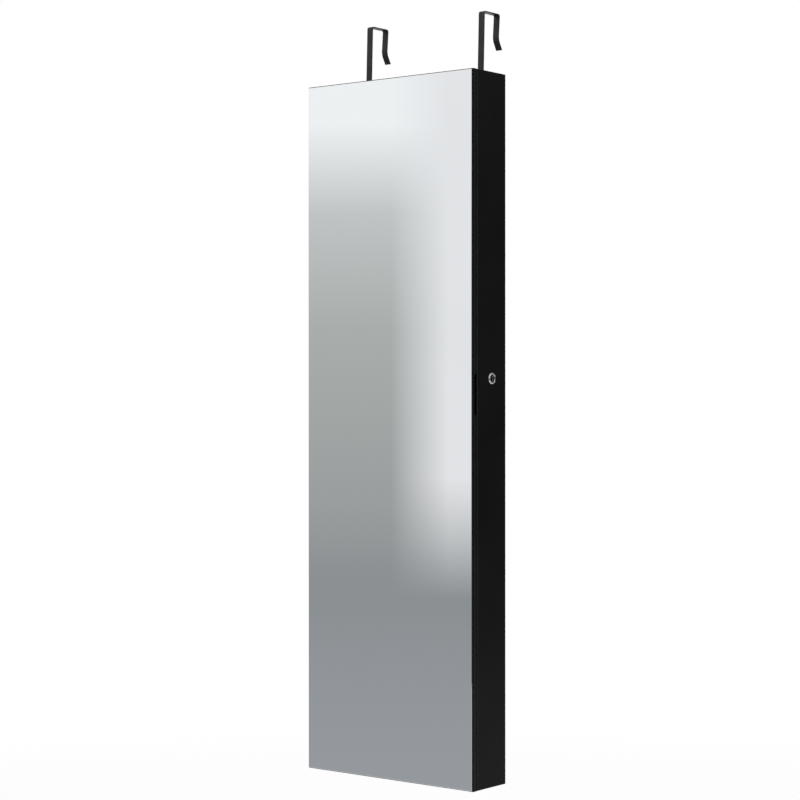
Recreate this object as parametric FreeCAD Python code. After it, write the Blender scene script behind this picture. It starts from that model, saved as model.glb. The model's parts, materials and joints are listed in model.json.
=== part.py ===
import FreeCAD, Part
import math
import os

# A hanging jewelry cabinet with a full-length mirror door. Lengths are in millimetres. X runs to the
# right, Y back to the wall and Z up. The origin lies midway between the two wall screws, on the rear face.

# The whole cabinet
cabinet_width = 360.0
cabinet_height = 1200.0
cabinet_depth = 95.0
edge_round = 1.0
board_fit = 0.2            # play left at a board's edge in its groove or rebate
flat_enough = 1e-6         # how near a plane an edge is to lie in it

# Carcass
side_thickness = 12.0
end_thickness = 12.0       # top and bottom boards
back_thickness = 3.0
back_rebate = 8.0          # width of the rebate that holds the back panel
lining_thickness = 2.0
dowel_radius = 3.0
dowel_in_side = 8.0
dowel_in_board = 20.0
dowel_inset = 20.0         # from the front or rear edge of an end board
dowel_fit = 0.1

# Rail behind the top board, and the screws that hang the cabinet on a wall
rail_height = 60.0
rail_thickness = 12.0
rail_dowel_inset = 15.0
wall_screw_drop = 45.0     # screw line below the cabinet's top
wall_screw_spacing = 160.0
wall_hole_radius = 2.5

# Door
glass_thickness = 3.0
glass_inset = 1.5          # black margin of the panel round the glass
glass_bevel = 0.6
door_panel_thickness = 9.0
finger_pull_length = 70.0
finger_pull_radius = 6.5
finger_pull_drop = 27.0    # its middle below the lock's axis

# Butt hinges
hinge_length = 50.0
hinge_inset = 110.0        # middle of an end hinge from the door's end
hinge_count = 3
leaf_thickness = 0.8
leaf_gap = 0.4             # between the two closed leaves
leaf_margin = 1.0          # from the leaf's edge to the inside of the side panel
knuckle_radius = 2.4
knuckle_gap = 0.4          # from a knuckle to the cabinet's side
knuckle_count = 3
knuckle_play = 0.3         # end play between two knuckles
pin_radius = 1.2
pin_play = 0.05
pin_end = 0.6              # the pin stands out of the end knuckles
hinge_screw_inset = 10.0   # from the leaf's end

# Countersunk wood screws
screw_radius = 1.4
screw_head_radius = 2.6
screw_head_depth = 1.2
screw_fit = 0.05
fastener_sides = 6         # screws and dowels are drawn with this many flats
body_screw_length = 12.0
door_screw_length = 7.0

# Cam lock in the right side
lock_height = 686.0        # axis above the cabinet's bottom
lock_setback = 40.5        # axis behind the carcass's front edge
barrel_radius = 9.0
barrel_flats = 16.4        # across the two flats
barrel_length = 21.7
barrel_fit = 0.15
bezel_radius = 11.4
bezel_height = 2.6
bezel_slope = 1.8          # how much narrower it is at its face
nut_sides = 6
nut_across_flats = 22.0
nut_thickness = 4.0
plug_radius = 6.0
plug_play = 0.06
plug_sink = 0.3            # plug's face below the bezel's
key_slot_width = 1.8
key_slot_height = 7.4
key_slot_depth = 8.0
cam_thickness = 2.0
cam_gap = 0.3              # between the barrel's end and the cam
cam_width = 10.0
cam_reach = 32.0           # from the axis to the cam's tip
cam_heel = 8.0             # from the axis to the cam's other end
tail_across_flats = 6.4
tail_fit = 0.1
tail_recess = 0.2          # the tail stops short of the cam's inner face
cam_flange_radius = 5.0
cam_flange_thickness = 0.8
cam_screw_radius = 1.95
cam_screw_length = 9.0
cam_screw_head_radius = 3.5
cam_screw_head_height = 2.4

# Strike that the cam catches on the door
strike_thickness = 2.0
strike_width = 13.0
strike_rise = 18.0         # its arm above the lock's axis
strike_plate_height = 34.0
strike_bend = 2.5
strike_end_bar = 4.0
strike_slot_side_play = 2.5
strike_slot_end_play = 1.0
strike_screw_inset = 7.0

# Magnetic catches
catch_height_low = 80.0    # middle of the lower catch above the bottom
catch_drop_high = 50.0     # middle of the upper catch below the top
catch_length = 40.0
catch_width = 11.0
catch_depth = 15.5
catch_screw_inset = 5.0
pole_thickness = 1.2
pole_length = 20.0
pole_depth = 10.0
pole_step = 0.4            # poles stand proud of the case
magnet_thickness = 4.0
catch_plate_thickness = 0.8
catch_plate_length = 30.0
catch_play = 0.3
catch_screw_bite = 8.0      # in the side panel

# Rubber buffers on the carcass's front edge
buffer_radius = 4.0
buffer_sides = 12
buffer_play = 0.3
buffer_inset = 30.0

# Shelves and their clear lips
shelf_names = ("lower", "middle", "upper")
shelf_thickness = 9.0
shelf_setback = 8.0        # behind the carcass's front edge
groove_depth = 2.5
first_shelf_height = 150.0
shelf_pitch = 135.0
lip_thickness = 3.0
lip_height = 28.0
bin_lip_height = 38.0
lip_seat = 2.0
lip_setback = 1.5

# Upper section with the rings and earrings
section_height = 249.0     # clear height above the section shelf
divider_thickness = 9.0
bay_fit = 0.5
tray_depth = 16.0
tray_wall = 3.0
roll_count = 6
roll_play = 0.3
roll_end_round = 3.0       # how far a roll is drawn in at its ends
roll_flat = 0.45           # share of the radius from a roll's axis to its flat back
post_width = 8.0
post_depth = 35.0
earring_panel_thickness = 3.0
slot_rows = 4
slot_columns = 8
earring_slot_length = 11.0
earring_slot_width = 2.6
earring_margin = 20.0
panel_screw_length = 12.0
panel_screw_inset = 12.0

# Necklace bar and hooks
necklace_bar_drop = 25.0   # below the section shelf
necklace_bar_height = 25.0
necklace_bar_thickness = 12.0
necklace_hook_count = 8
necklace_hook_pitch = 36.0
necklace_hook_width = 4.0
necklace_hook_thickness = 1.6
necklace_hook_stem = 24.0
necklace_hook_tip = 12.0
necklace_hook_bend = 4.0
necklace_hook_root = 8.0   # how far it is driven into the bar
bar_screw_spacing = 130.0
bar_screw_drop = 6.0       # below the hooks

# Bracelet rod
rod_below_lock = 150.0
rod_radius = 6.0
rod_setback = 40.0
socket_floor = 2.0
socket_wall = 3.0
socket_length = 10.0
rod_fit = 0.1

# Screws round the back panel
back_screw_rows = 4
back_screw_end_inset = 80.0

# Steel hooks that go over a room's door
door_hook_width = 12.0
door_hook_thickness = 2.0
door_hook_spacing = 246.0
door_hook_shift = 4.0      # the pair's middle right of the cabinet's middle
door_hook_gap = 42.0       # thickest door that the hooks take
door_hook_rise = 114.3
door_hook_lean = 3.6
door_hook_lean_drop = 5.0  # where it starts to lean, below the cabinet's top
door_hook_drop = 40.5
door_hook_pinch = 3.3
door_hook_flare = 10.0
door_hook_flare_drop = 19.0
door_hook_tail = 67.0      # its lower end below the cabinet's top
door_hook_bend = 3.0
door_hook_holes = 2
door_hook_hole_pitch = 30.0
door_hook_hole_radius = 2.2
door_hook_screw_radius = 1.9
door_hook_screw_length = 15.0
door_hook_head_radius = 3.8
door_hook_head_top_radius = 3.0
door_hook_head_height = 2.0
door_hook_screw_top = 25.0  # uppermost screw below the cabinet's top

# Places worked out from the sizes
half_width = cabinet_width / 2
inner_half_width = half_width - side_thickness
top_z = wall_screw_drop
bottom_z = top_z - cabinet_height
inner_top_z = top_z - end_thickness
inner_bottom_z = bottom_z + end_thickness
front_y = -cabinet_depth
glass_back_y = front_y + glass_thickness
door_back_y = glass_back_y + door_panel_thickness
body_front_y = door_back_y + 2 * leaf_thickness + leaf_gap
back_front_y = -back_thickness
lining_front_y = back_front_y - lining_thickness
rail_front_y = back_front_y - rail_thickness
rail_bottom_z = inner_top_z - rail_height
shelf_front_y = body_front_y + shelf_setback
lip_front_y = shelf_front_y + lip_setback
section_z = inner_top_z - section_height     # top of the section shelf
shelf_levels = [bottom_z + first_shelf_height + step * shelf_pitch for step in range(len(shelf_names))]
section_shelf_level = section_z - shelf_thickness
lock_y = body_front_y + lock_setback
lock_z = bottom_z + lock_height
cam_outer_x = half_width - barrel_length - cam_gap
cam_inner_x = cam_outer_x - cam_thickness
cam_middle_x = (cam_outer_x + cam_inner_x) / 2
hinge_x = -half_width - knuckle_radius - knuckle_gap
hinge_y = door_back_y + leaf_thickness + leaf_gap / 2
hinge_span = cabinet_height - 2 * hinge_inset
hinge_levels = [bottom_z + hinge_inset + step * hinge_span / (hinge_count - 1) for step in range(hinge_count)]
catch_levels = [bottom_z + catch_height_low, top_z - catch_drop_high]
catch_front_y = door_back_y + catch_plate_thickness + catch_play
catch_middle_x = inner_half_width - catch_width / 2
leaf_middle_x = half_width - side_thickness / 2
necklace_bar_top = section_shelf_level - necklace_bar_drop
necklace_bar_face_y = lining_front_y - necklace_bar_thickness
necklace_hook_z = necklace_bar_top - necklace_bar_height / 2
necklace_hook_xs = [(step - (necklace_hook_count - 1) / 2) * necklace_hook_pitch
                    for step in range(necklace_hook_count)]
rod_y = body_front_y + rod_setback
rod_z = lock_z - rod_below_lock
strike_z = lock_z + strike_rise
earring_panel_back_y = lining_front_y - post_depth
door_hook_xs = [door_hook_shift - door_hook_spacing / 2, door_hook_shift + door_hook_spacing / 2]
door_hook_levels = [top_z - door_hook_screw_top - step * door_hook_hole_pitch
                    for step in range(door_hook_holes)]
left_bay = (-inner_half_width + bay_fit, -divider_thickness / 2 - bay_fit)
right_bay = (divider_thickness / 2 + bay_fit, inner_half_width - bay_fit)
bay_top_z = rail_bottom_z - bay_fit


# Shapes that the pieces are made from

def point(x, y, z):
    return FreeCAD.Vector(x, y, z)


def block(x_ends, y_ends, z_ends):
    """A box between two ends along each axis, in either order."""
    spans = [sorted(ends) for ends in (x_ends, y_ends, z_ends)]
    sizes = [high - low for low, high in spans]
    return Part.makeBox(*sizes, point(*(low for low, high in spans)))


def rod(radius, start, end):
    """A round bar from one point to another."""
    way = end - start
    return Part.makeCylinder(radius, way.Length, start, way)


def closed_wire(steps, to_space):
    """A closed outline. Each step is a corner, or the middle and end of an arc to it."""
    here = to_space(*steps[0])
    edges = []
    for step in steps[1:] + steps[:1]:
        if isinstance(step[0], tuple):
            middle, end = (to_space(*place) for place in step)
            edges.append(Part.Arc(here, middle, end).toShape())
        else:
            end = to_space(*step)
            edges.append(Part.LineSegment(here, end).toShape())
        here = end
    return Part.Wire(edges)


def closed_face(steps, to_space):
    return Part.Face(closed_wire(steps, to_space))


def turned(steps, base, way):
    """A turned piece: its half section is in radius and length along the axis from base."""
    face = closed_face(steps, lambda radius, length: point(radius, 0, length))
    solid = face.revolve(point(0, 0, 0), point(0, 0, 1), 360)
    solid.Placement = FreeCAD.Placement(base, FreeCAD.Rotation(point(0, 0, 1), way))
    return solid


def bent_strip(corners, bend_radius, thickness, x_ends):
    """A strip bent along the corners of its centre line in the YZ plane."""
    half = thickness / 2
    corners = [FreeCAD.Vector(0, y, z) for y, z in corners]
    ways = [(after - before).normalize() for before, after in zip(corners, corners[1:])]
    sides = [point(0, -way.z, way.y) for way in ways]
    left = [corners[0] + sides[0] * half]
    right = [corners[0] - sides[0] * half]
    for corner, way_in, way_out, side_in, side_out in zip(corners[1:], ways, ways[1:], sides, sides[1:]):
        turn = math.copysign(1, way_in.cross(way_out).x)
        setback = bend_radius * math.tan(way_in.getAngle(way_out) / 2)
        centre = corner - way_in * setback + side_in * turn * bend_radius
        outward = (corner - centre).normalize()
        for edge, sign in ((left, 1), (right, -1)):
            edge.append(corner - way_in * setback + side_in * sign * half)
            middle = centre + outward * (bend_radius - turn * sign * half)
            edge.append((middle, corner + way_out * setback + side_out * sign * half))
    left.append(corners[-1] + sides[-1] * half)
    right.append(corners[-1] - sides[-1] * half)
    edges = path_edges(left) + path_edges(right)
    edges.append(Part.LineSegment(left[0], right[0]).toShape())
    edges.append(Part.LineSegment(left[-1], right[-1]).toShape())
    outline = Part.Wire(Part.sortEdges(edges)[0])
    low, high = sorted(x_ends)
    outline.translate(point(low, 0, 0))
    return Part.Face(outline).extrude(point(high - low, 0, 0))


def path_edges(steps):
    """Edges along a path whose steps are points, or an arc's middle and end."""
    here = steps[0]
    edges = []
    for step in steps[1:]:
        if isinstance(step, tuple):
            middle, end = step
            edges.append(Part.Arc(here, middle, end).toShape())
        else:
            end = step
            edges.append(Part.LineSegment(here, end).toShape())
        here = end
    return edges


def edges_in_plane(shape, axis, value):
    """The edges that lie in the plane where one coordinate has a value."""
    def lies_there(edge):
        box = edge.BoundBox
        low, high = {"x": (box.XMin, box.XMax), "y": (box.YMin, box.YMax), "z": (box.ZMin, box.ZMax)}[axis]
        return max(abs(low - value), abs(high - value)) < flat_enough
    return [edge for edge in shape.Edges if lies_there(edge)]


def faceted(steps, base, way, sides=fastener_sides):
    """A piece with flats, through the radii at its corners and the lengths along its axis from base."""
    turns = [2 * math.pi * side / sides for side in range(sides)]
    rings = [[point(radius * math.cos(turn), radius * math.sin(turn), length) for turn in turns]
             for radius, length in steps]
    outlines = [rings[0], rings[-1]]
    for low, high in zip(rings, rings[1:]):
        outlines += [[low[side - 1], low[side], high[side], high[side - 1]] for side in range(sides)]
    faces = [Part.Face(Part.makePolygon(outline + outline[:1])) for outline in outlines]
    solid = Part.Solid(Part.Shell(faces))
    if solid.Volume < 0:
        solid.reverse()
    solid.Placement = FreeCAD.Placement(base, FreeCAD.Rotation(point(0, 0, 1), way))
    return solid


def wood_screw(face, way, length, play=0.0):
    """A countersunk screw whose head is flush at face. With play it is the hole for that screw."""
    steps = [(screw_head_radius + play, 0), (screw_radius + play, screw_head_depth),
             (screw_radius + play, length + play)]
    return faceted(steps, face, way)


# Carcass

def dowel_places():
    """Each dowel's side, depth and height, for the end boards and the rail."""
    boards = [(y, z) for y in (body_front_y + dowel_inset, -dowel_inset)
              for z in (top_z - end_thickness / 2, bottom_z + end_thickness / 2)]
    rail_y = (rail_front_y + back_front_y) / 2
    rails = [(rail_y, z) for z in (inner_top_z - rail_dowel_inset, rail_bottom_z + rail_dowel_inset)]
    return [(side, y, z) for side in (-1, 1) for y, z in boards + rails]


def dowels(play=0.0):
    """The carcass's dowels, or with play the holes for them."""
    radius = dowel_radius + play
    return [faceted([(radius, 0), (radius, dowel_in_board + dowel_in_side + 2 * play)],
                    point(side * (inner_half_width - dowel_in_board - play), y, z), point(side, 0, 0))
            for side, y, z in dowel_places()]


def back_screw_places():
    """Where screws hold the back panel to the carcass and to the necklace bar."""
    span = cabinet_height - 2 * back_screw_end_inset
    rows = [bottom_z + back_screw_end_inset + step * span / (back_screw_rows - 1)
            for step in range(back_screw_rows)]
    side_x = inner_half_width + back_rebate / 2
    sides = [(side * side_x, z) for side in (-1, 1) for z in rows]
    ends = [(0, z) for z in (inner_top_z + back_rebate / 2, inner_bottom_z - back_rebate / 2)]
    bar = [(step * bar_screw_spacing, necklace_hook_z - bar_screw_drop) for step in (-1, 0, 1)]
    return sides + ends + bar


def back_screws(play=0.0):
    return [wood_screw(point(x, 0, z), point(0, -1, 0), body_screw_length, play)
            for x, z in back_screw_places()]


def shelf_grooves(side):
    """Grooves in a side panel for the shelves that slide in from the back."""
    play = board_fit / 2
    return [block((side * inner_half_width, side * (inner_half_width + groove_depth)),
                  (shelf_front_y - play, back_front_y), (level - play, level + shelf_thickness + play))
            for level in shelf_levels + [section_shelf_level]]


def lock_hole():
    """The hole with two flats that the lock's barrel goes through."""
    hole = rod(barrel_radius + barrel_fit, point(inner_half_width, lock_y, lock_z),
               point(half_width, lock_y, lock_z))
    reach = barrel_flats / 2 + barrel_fit
    wide = barrel_radius + barrel_fit
    return hole.common(block((inner_half_width, half_width), (lock_y - wide, lock_y + wide),
                             (lock_z - reach, lock_z + reach)))


def side_panel(side):
    """An upright board of the carcass, -1 for the left side and 1 for the right."""
    board = block((side * inner_half_width, side * half_width), (body_front_y, 0), (bottom_z, top_z))
    board = board.makeFillet(edge_round, edges_in_plane(board, "x", side * half_width))
    rebate = block((side * inner_half_width, side * (inner_half_width + back_rebate)), (back_front_y, 0),
                   (bottom_z + end_thickness - back_rebate, top_z - end_thickness + back_rebate))
    cuts = [rebate] + shelf_grooves(side) + dowels(dowel_fit) + back_screws(screw_fit)
    cuts += [screw for level in hinge_levels for screw in hinge_screws_body(level, screw_fit)]
    if side > 0:
        cuts.append(lock_hole())
        cuts += catch_screws(screw_fit)
    return board.cut(cuts)


def end_board(way):
    """The bottom board for -1 and the top board for 1."""
    inner_z, outer_z = (inner_top_z, top_z) if way > 0 else (inner_bottom_z, bottom_z)
    board = block((-inner_half_width, inner_half_width), (body_front_y, 0), (inner_z, outer_z))
    rebate = block((-inner_half_width, inner_half_width), (back_front_y, 0),
                   (inner_z, inner_z + way * back_rebate))
    groove = divider_groove(inner_top_z, inner_top_z + groove_depth) if way > 0 else \
        lip_groove(inner_bottom_z)
    return board.cut([rebate, groove] + dowels(dowel_fit) + back_screws(screw_fit))


def back_panel():
    reach = inner_half_width + back_rebate - board_fit
    panel = block((-reach, reach), (back_front_y, 0),
                  (inner_bottom_z - back_rebate + board_fit, inner_top_z + back_rebate - board_fit))
    return panel.cut(back_screws(screw_fit) + wall_holes() + door_hook_screw_holes())


def hanging_rail():
    """The rail under the top board that the wall screws and the door hooks' screws go into."""
    rail = block((-inner_half_width, inner_half_width), (rail_front_y, back_front_y),
                 (rail_bottom_z, inner_top_z))
    return rail.cut(dowels(dowel_fit) + wall_holes() + door_hook_screw_holes())


def wall_holes():
    return [rod(wall_hole_radius, point(side * wall_screw_spacing / 2, rail_front_y, 0),
                point(side * wall_screw_spacing / 2, 0, 0)) for side in (-1, 1)]


def back_lining():
    """The velvet board in front of the back panel, below the rail."""
    reach = inner_half_width - board_fit
    lining = block((-reach, reach), (lining_front_y, back_front_y),
                   (inner_bottom_z + board_fit, rail_bottom_z - board_fit))
    return lining.cut(back_screws(screw_fit))


# Shelves

def lip_groove(floor_z):
    """The groove in a board's top face that a clear lip stands in."""
    play = board_fit / 2
    return block((-inner_half_width, inner_half_width),
                 (lip_front_y - play, lip_front_y + lip_thickness + play), (floor_z - lip_seat, floor_z))


def divider_groove(low_z, high_z):
    half = divider_thickness / 2 + board_fit / 2
    return block((-half, half), (shelf_front_y - board_fit, rail_front_y), (low_z, high_z))


def shelf_board(level):
    """A plain shelf, with its ends in the side panels' grooves."""
    reach = inner_half_width + groove_depth - board_fit
    return block((-reach, reach), (shelf_front_y, lining_front_y), (level, level + shelf_thickness))


def lip(floor_z, height):
    """A clear strip that stands in its groove and keeps things on the shelf."""
    reach = inner_half_width - board_fit
    return block((-reach, reach), (lip_front_y, lip_front_y + lip_thickness),
                 (floor_z - lip_seat, floor_z + height))


def section_divider():
    """The upright board between the rings and the earrings, notched round the rail."""
    half = divider_thickness / 2
    board = block((-half, half), (shelf_front_y, lining_front_y),
                  (section_z - groove_depth + board_fit, inner_top_z + groove_depth - board_fit))
    notch = block((-half, half), (rail_front_y - board_fit, lining_front_y),
                  (rail_bottom_z - board_fit, top_z))
    foot = block((-half, half), (rail_front_y - board_fit, lining_front_y), (section_shelf_level, section_z))
    return board.cut([notch, foot])


def section_shelf():
    groove = divider_groove(section_z - groove_depth, section_z)
    return shelf_board(section_shelf_level).cut(groove)


# Rings and earrings

def ring_tray():
    """The open tray that holds the ring rolls, standing on the section shelf."""
    outer = block(left_bay, (lining_front_y - tray_depth, lining_front_y), (section_z, bay_top_z))
    inner = block((left_bay[0] + tray_wall, left_bay[1] - tray_wall),
                  (lining_front_y - tray_depth, lining_front_y - tray_wall),
                  (section_z + tray_wall, bay_top_z - tray_wall))
    return outer.cut(inner)


def roll_section(x, radius, back_y, axis_z):
    """A roll's outline across its length: an arc that closes on a flat back."""
    start = math.acos(roll_flat)
    middle = (start + math.pi) / 2
    axis_y = back_y - roll_flat * radius

    def at(turn):
        return axis_y + radius * math.cos(turn), axis_z + radius * math.sin(turn)
    steps = [at(start), (at(middle), at(math.pi)), (at(-middle), at(-start))]
    return closed_wire(steps, lambda y, z: point(x, y, z))


def ring_rolls():
    """Padded rolls with crowned sides and drawn-in ends, flat at the back. Rings go between them."""
    pitch = (bay_top_z - section_z - 2 * tray_wall - roll_play) / roll_count
    radius = (pitch - roll_play) / 2
    back_y = lining_front_y - tray_wall - roll_play
    start_x = left_bay[0] + tray_wall + roll_play
    length = left_bay[1] - tray_wall - roll_play - start_x
    stations = [(0, radius - roll_end_round), (roll_end_round, radius), (length - roll_end_round, radius),
                (length, radius - roll_end_round)]
    rolls = []
    for step in range(roll_count):
        axis_z = section_z + tray_wall + roll_play + radius + step * pitch
        rings = [roll_section(start_x + along, size, back_y, axis_z) for along, size in stations]
        rolls.append(Part.makeLoft(rings, True, True))
    return rolls


def earring_posts():
    """Two battens that carry the earring panel in front of the lining."""
    posts = [block((start, start + post_width), (earring_panel_back_y, lining_front_y),
                   (section_z, bay_top_z)) for start in (right_bay[0], right_bay[1] - post_width)]
    holes = earring_panel_screws(screw_fit)
    return [post.cut(holes) for post in posts]


def earring_panel():
    """The clear panel with rows of slots that earrings hang in."""
    face_y = earring_panel_back_y - earring_panel_thickness
    panel = block(right_bay, (face_y, earring_panel_back_y), (section_z, bay_top_z))
    left_x = right_bay[0] + earring_margin
    low_z = section_z + earring_margin
    column_step = (right_bay[1] - earring_margin - left_x) / (slot_columns - 1)
    row_step = (bay_top_z - earring_margin - low_z) / (slot_rows - 1)
    half_slot = earring_slot_width / 2
    half_length = earring_slot_length / 2
    cuts = earring_panel_screws(screw_fit)
    for column in range(slot_columns):
        for row in range(slot_rows):
            x = left_x + column * column_step
            z = low_z + row * row_step
            cuts.append(block((x - half_slot, x + half_slot), (face_y, earring_panel_back_y),
                              (z - half_length, z + half_length)))
    return panel.cut(cuts)


def earring_panel_screws(play=0.0):
    xs = (right_bay[0] + post_width / 2, right_bay[1] - post_width / 2)
    zs = (section_z + panel_screw_inset, bay_top_z - panel_screw_inset)
    face_y = earring_panel_back_y - earring_panel_thickness
    return [wood_screw(point(x, face_y, z), point(0, 1, 0), panel_screw_length, play)
            for x in xs for z in zs]


# Necklaces and bracelets

def necklace_bar():
    """The bar below the section shelf that the necklace hooks are driven into."""
    reach = inner_half_width - board_fit
    bar = block((-reach, reach), (necklace_bar_face_y, lining_front_y),
                (necklace_bar_top - necklace_bar_height, necklace_bar_top))
    half_slot = necklace_hook_width / 2 + screw_fit
    half_height = necklace_hook_thickness / 2 + screw_fit
    slots = [block((x - half_slot, x + half_slot),
                   (necklace_bar_face_y, necklace_bar_face_y + necklace_hook_root + screw_fit),
                   (necklace_hook_z - half_height, necklace_hook_z + half_height)) for x in necklace_hook_xs]
    return bar.cut(slots + back_screws(screw_fit))


def necklace_hook(x):
    """A narrow steel strip that goes straight out of the bar and turns up at its end."""
    tip_y = necklace_bar_face_y - necklace_hook_stem
    corners = [(necklace_bar_face_y + necklace_hook_root, necklace_hook_z), (tip_y, necklace_hook_z),
               (tip_y, necklace_hook_z + necklace_hook_tip)]
    half = necklace_hook_width / 2
    return bent_strip(corners, necklace_hook_bend, necklace_hook_thickness, (x - half, x + half))


def rod_socket(side):
    """A cup on a side panel that holds one end of the bracelet rod."""
    bore = rod_radius + rod_fit
    steps = [(0, 0), (bore + socket_wall, 0), (bore + socket_wall, socket_length), (bore, socket_length),
             (bore, socket_floor), (0, socket_floor)]
    return turned(steps, point(side * inner_half_width, rod_y, rod_z), point(-side, 0, 0))


def bracelet_rod():
    reach = inner_half_width - socket_floor - rod_fit
    return rod(rod_radius, point(-reach, rod_y, rod_z), point(reach, rod_y, rod_z))


# Hooks over a room's door

def door_hook_profile():
    """The corners of a door hook's centre line, from its lower end to its flared tip."""
    flat_y = door_hook_thickness / 2
    top = top_z + door_hook_rise - door_hook_thickness / 2
    near_y = flat_y + door_hook_lean
    far_y = near_y + door_hook_gap + door_hook_thickness
    return [(flat_y, top_z - door_hook_tail),
            (flat_y, top_z - door_hook_lean_drop),
            (near_y, top),
            (far_y, top),
            (far_y - door_hook_pinch, top - door_hook_drop),
            (far_y - door_hook_pinch + door_hook_flare, top - door_hook_drop - door_hook_flare_drop)]


def door_hook(x):
    """A flat steel strip screwed to the back, bent over the door and flared at its tip."""
    half = door_hook_width / 2
    strip = bent_strip(door_hook_profile(), door_hook_bend, door_hook_thickness, (x - half, x + half))
    holes = [rod(door_hook_hole_radius, point(x, 0, level), point(x, door_hook_thickness, level))
             for level in door_hook_levels]
    return strip.cut(holes)


def door_hook_screws():
    radius = door_hook_screw_radius
    steps = [(radius, -door_hook_screw_length), (radius, 0), (door_hook_head_radius, 0),
             (door_hook_head_top_radius, door_hook_head_height)]
    return [faceted(steps, point(x, door_hook_thickness, level), point(0, 1, 0))
            for x in door_hook_xs for level in door_hook_levels]


def door_hook_screw_holes():
    radius = door_hook_screw_radius + screw_fit
    depth = door_hook_screw_length - door_hook_thickness + screw_fit
    return [faceted([(radius, -depth), (radius, 0)], point(x, 0, level), point(0, 1, 0))
            for x in door_hook_xs for level in door_hook_levels]


# Hinges

def knuckle_spans(level):
    """The low and high end of each knuckle, from the bottom one up."""
    step = (hinge_length + knuckle_play) / knuckle_count
    low = level - hinge_length / 2
    return [(low + number * step, low + (number + 1) * step - knuckle_play)
            for number in range(knuckle_count)]


def hinge_leaf(level, on_door):
    """One leaf with its share of the knuckles: the carcass has the end ones."""
    if on_door:
        faces, bore, own = (door_back_y, door_back_y + leaf_thickness), pin_radius + pin_play, 1
    else:
        faces, bore, own = (body_front_y - leaf_thickness, body_front_y), pin_radius, 0
    leaf = block((-half_width, -inner_half_width - leaf_margin), faces,
                 (level - hinge_length / 2, level + hinge_length / 2))
    knuckles = []
    for low, high in knuckle_spans(level)[own::2]:
        knuckles.append(rod(knuckle_radius, point(hinge_x, hinge_y, low), point(hinge_x, hinge_y, high)))
        knuckles.append(block((hinge_x, -half_width), faces, (low, high)))
    pin_hole = rod(bore, point(hinge_x, hinge_y, level - hinge_length),
                   point(hinge_x, hinge_y, level + hinge_length))
    screws = hinge_screws_door(level, screw_fit) if on_door else hinge_screws_body(level, screw_fit)
    return leaf.fuse(knuckles).cut([pin_hole] + screws).removeSplitter()


def hinge_screw_levels(level):
    reach = hinge_length / 2 - hinge_screw_inset
    return (level - reach, level + reach)


def hinge_screws_body(level, play=0.0):
    return [wood_screw(point(-leaf_middle_x, body_front_y - leaf_thickness, z), point(0, 1, 0),
                       body_screw_length, play) for z in hinge_screw_levels(level)]


def hinge_screws_door(level, play=0.0):
    return [wood_screw(point(-leaf_middle_x, door_back_y + leaf_thickness, z), point(0, -1, 0),
                       door_screw_length, play) for z in hinge_screw_levels(level)]


def hinge_pin(level):
    """A plain pin, which stands out a little at each end."""
    reach = hinge_length / 2 + pin_end
    return rod(pin_radius, point(hinge_x, hinge_y, level - reach), point(hinge_x, hinge_y, level + reach))


# Lock. Its turned pieces are measured inwards from the cabinet's side.

def lock_barrel():
    """The barrel with its sloping bezel and two flats, bored for the plug."""
    bore = plug_radius + plug_play
    steps = [(bore, -bezel_height), (bezel_radius - bezel_slope, -bezel_height), (barrel_radius, 0),
             (barrel_radius, barrel_length), (bore, barrel_length)]
    barrel = turned(steps, point(half_width, lock_y, lock_z), point(-1, 0, 0))
    flat_z = barrel_flats / 2
    flats = [block((half_width - barrel_length, half_width), (lock_y - barrel_radius, lock_y + barrel_radius),
                   (lock_z + side * flat_z, lock_z + side * barrel_radius)) for side in (-1, 1)]
    return barrel.cut(flats)


def lock_nut():
    """The hexagonal nut that holds the barrel to the side panel."""
    corner = nut_across_flats / 2 / math.cos(math.pi / nut_sides)
    nut = faceted([(corner, 0), (corner, nut_thickness)], point(inner_half_width, lock_y, lock_z),
                  point(-1, 0, 0), nut_sides)
    hole = rod(barrel_radius + barrel_fit / 2, point(inner_half_width, lock_y, lock_z),
               point(inner_half_width - nut_thickness, lock_y, lock_z))
    return nut.cut(hole)


def lock_plug():
    """The plug that the key turns, with a square tail for the cam."""
    face_at = -bezel_height + plug_sink
    body_end = barrel_length + cam_gap / 2
    tail_end = barrel_length + cam_gap + cam_thickness - tail_recess
    plug = rod(plug_radius, point(half_width - face_at, lock_y, lock_z),
               point(half_width - body_end, lock_y, lock_z))
    half_tail = tail_across_flats / 2
    tail = block((half_width - body_end, half_width - tail_end), (lock_y - half_tail, lock_y + half_tail),
                 (lock_z - half_tail, lock_z + half_tail))
    slot = block((half_width - face_at, half_width - face_at - key_slot_depth),
                 (lock_y - key_slot_width / 2, lock_y + key_slot_width / 2),
                 (lock_z - key_slot_height / 2, lock_z + key_slot_height / 2))
    thread = faceted([(cam_screw_radius + screw_fit, 0), (cam_screw_radius + screw_fit, cam_screw_length)],
                     point(cam_inner_x + screw_fit, lock_y, lock_z), point(1, 0, 0))
    return plug.fuse(tail).cut([slot, thread]).removeSplitter()


def lock_cam():
    """The cam, which points to the door when unlocked and up when locked."""
    half = cam_width / 2
    steps = [(cam_heel, -half), (cam_heel, half), (-cam_reach + half, half),
             ((-cam_reach, 0), (-cam_reach + half, -half))]
    face = closed_face(steps, lambda y, z: point(cam_inner_x, lock_y + y, lock_z + z))
    hole_half = tail_across_flats / 2 + tail_fit
    hole = block((cam_inner_x, cam_outer_x), (lock_y - hole_half, lock_y + hole_half),
                 (lock_z - hole_half, lock_z + hole_half))
    return face.extrude(point(cam_thickness, 0, 0)).cut(hole)


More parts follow.
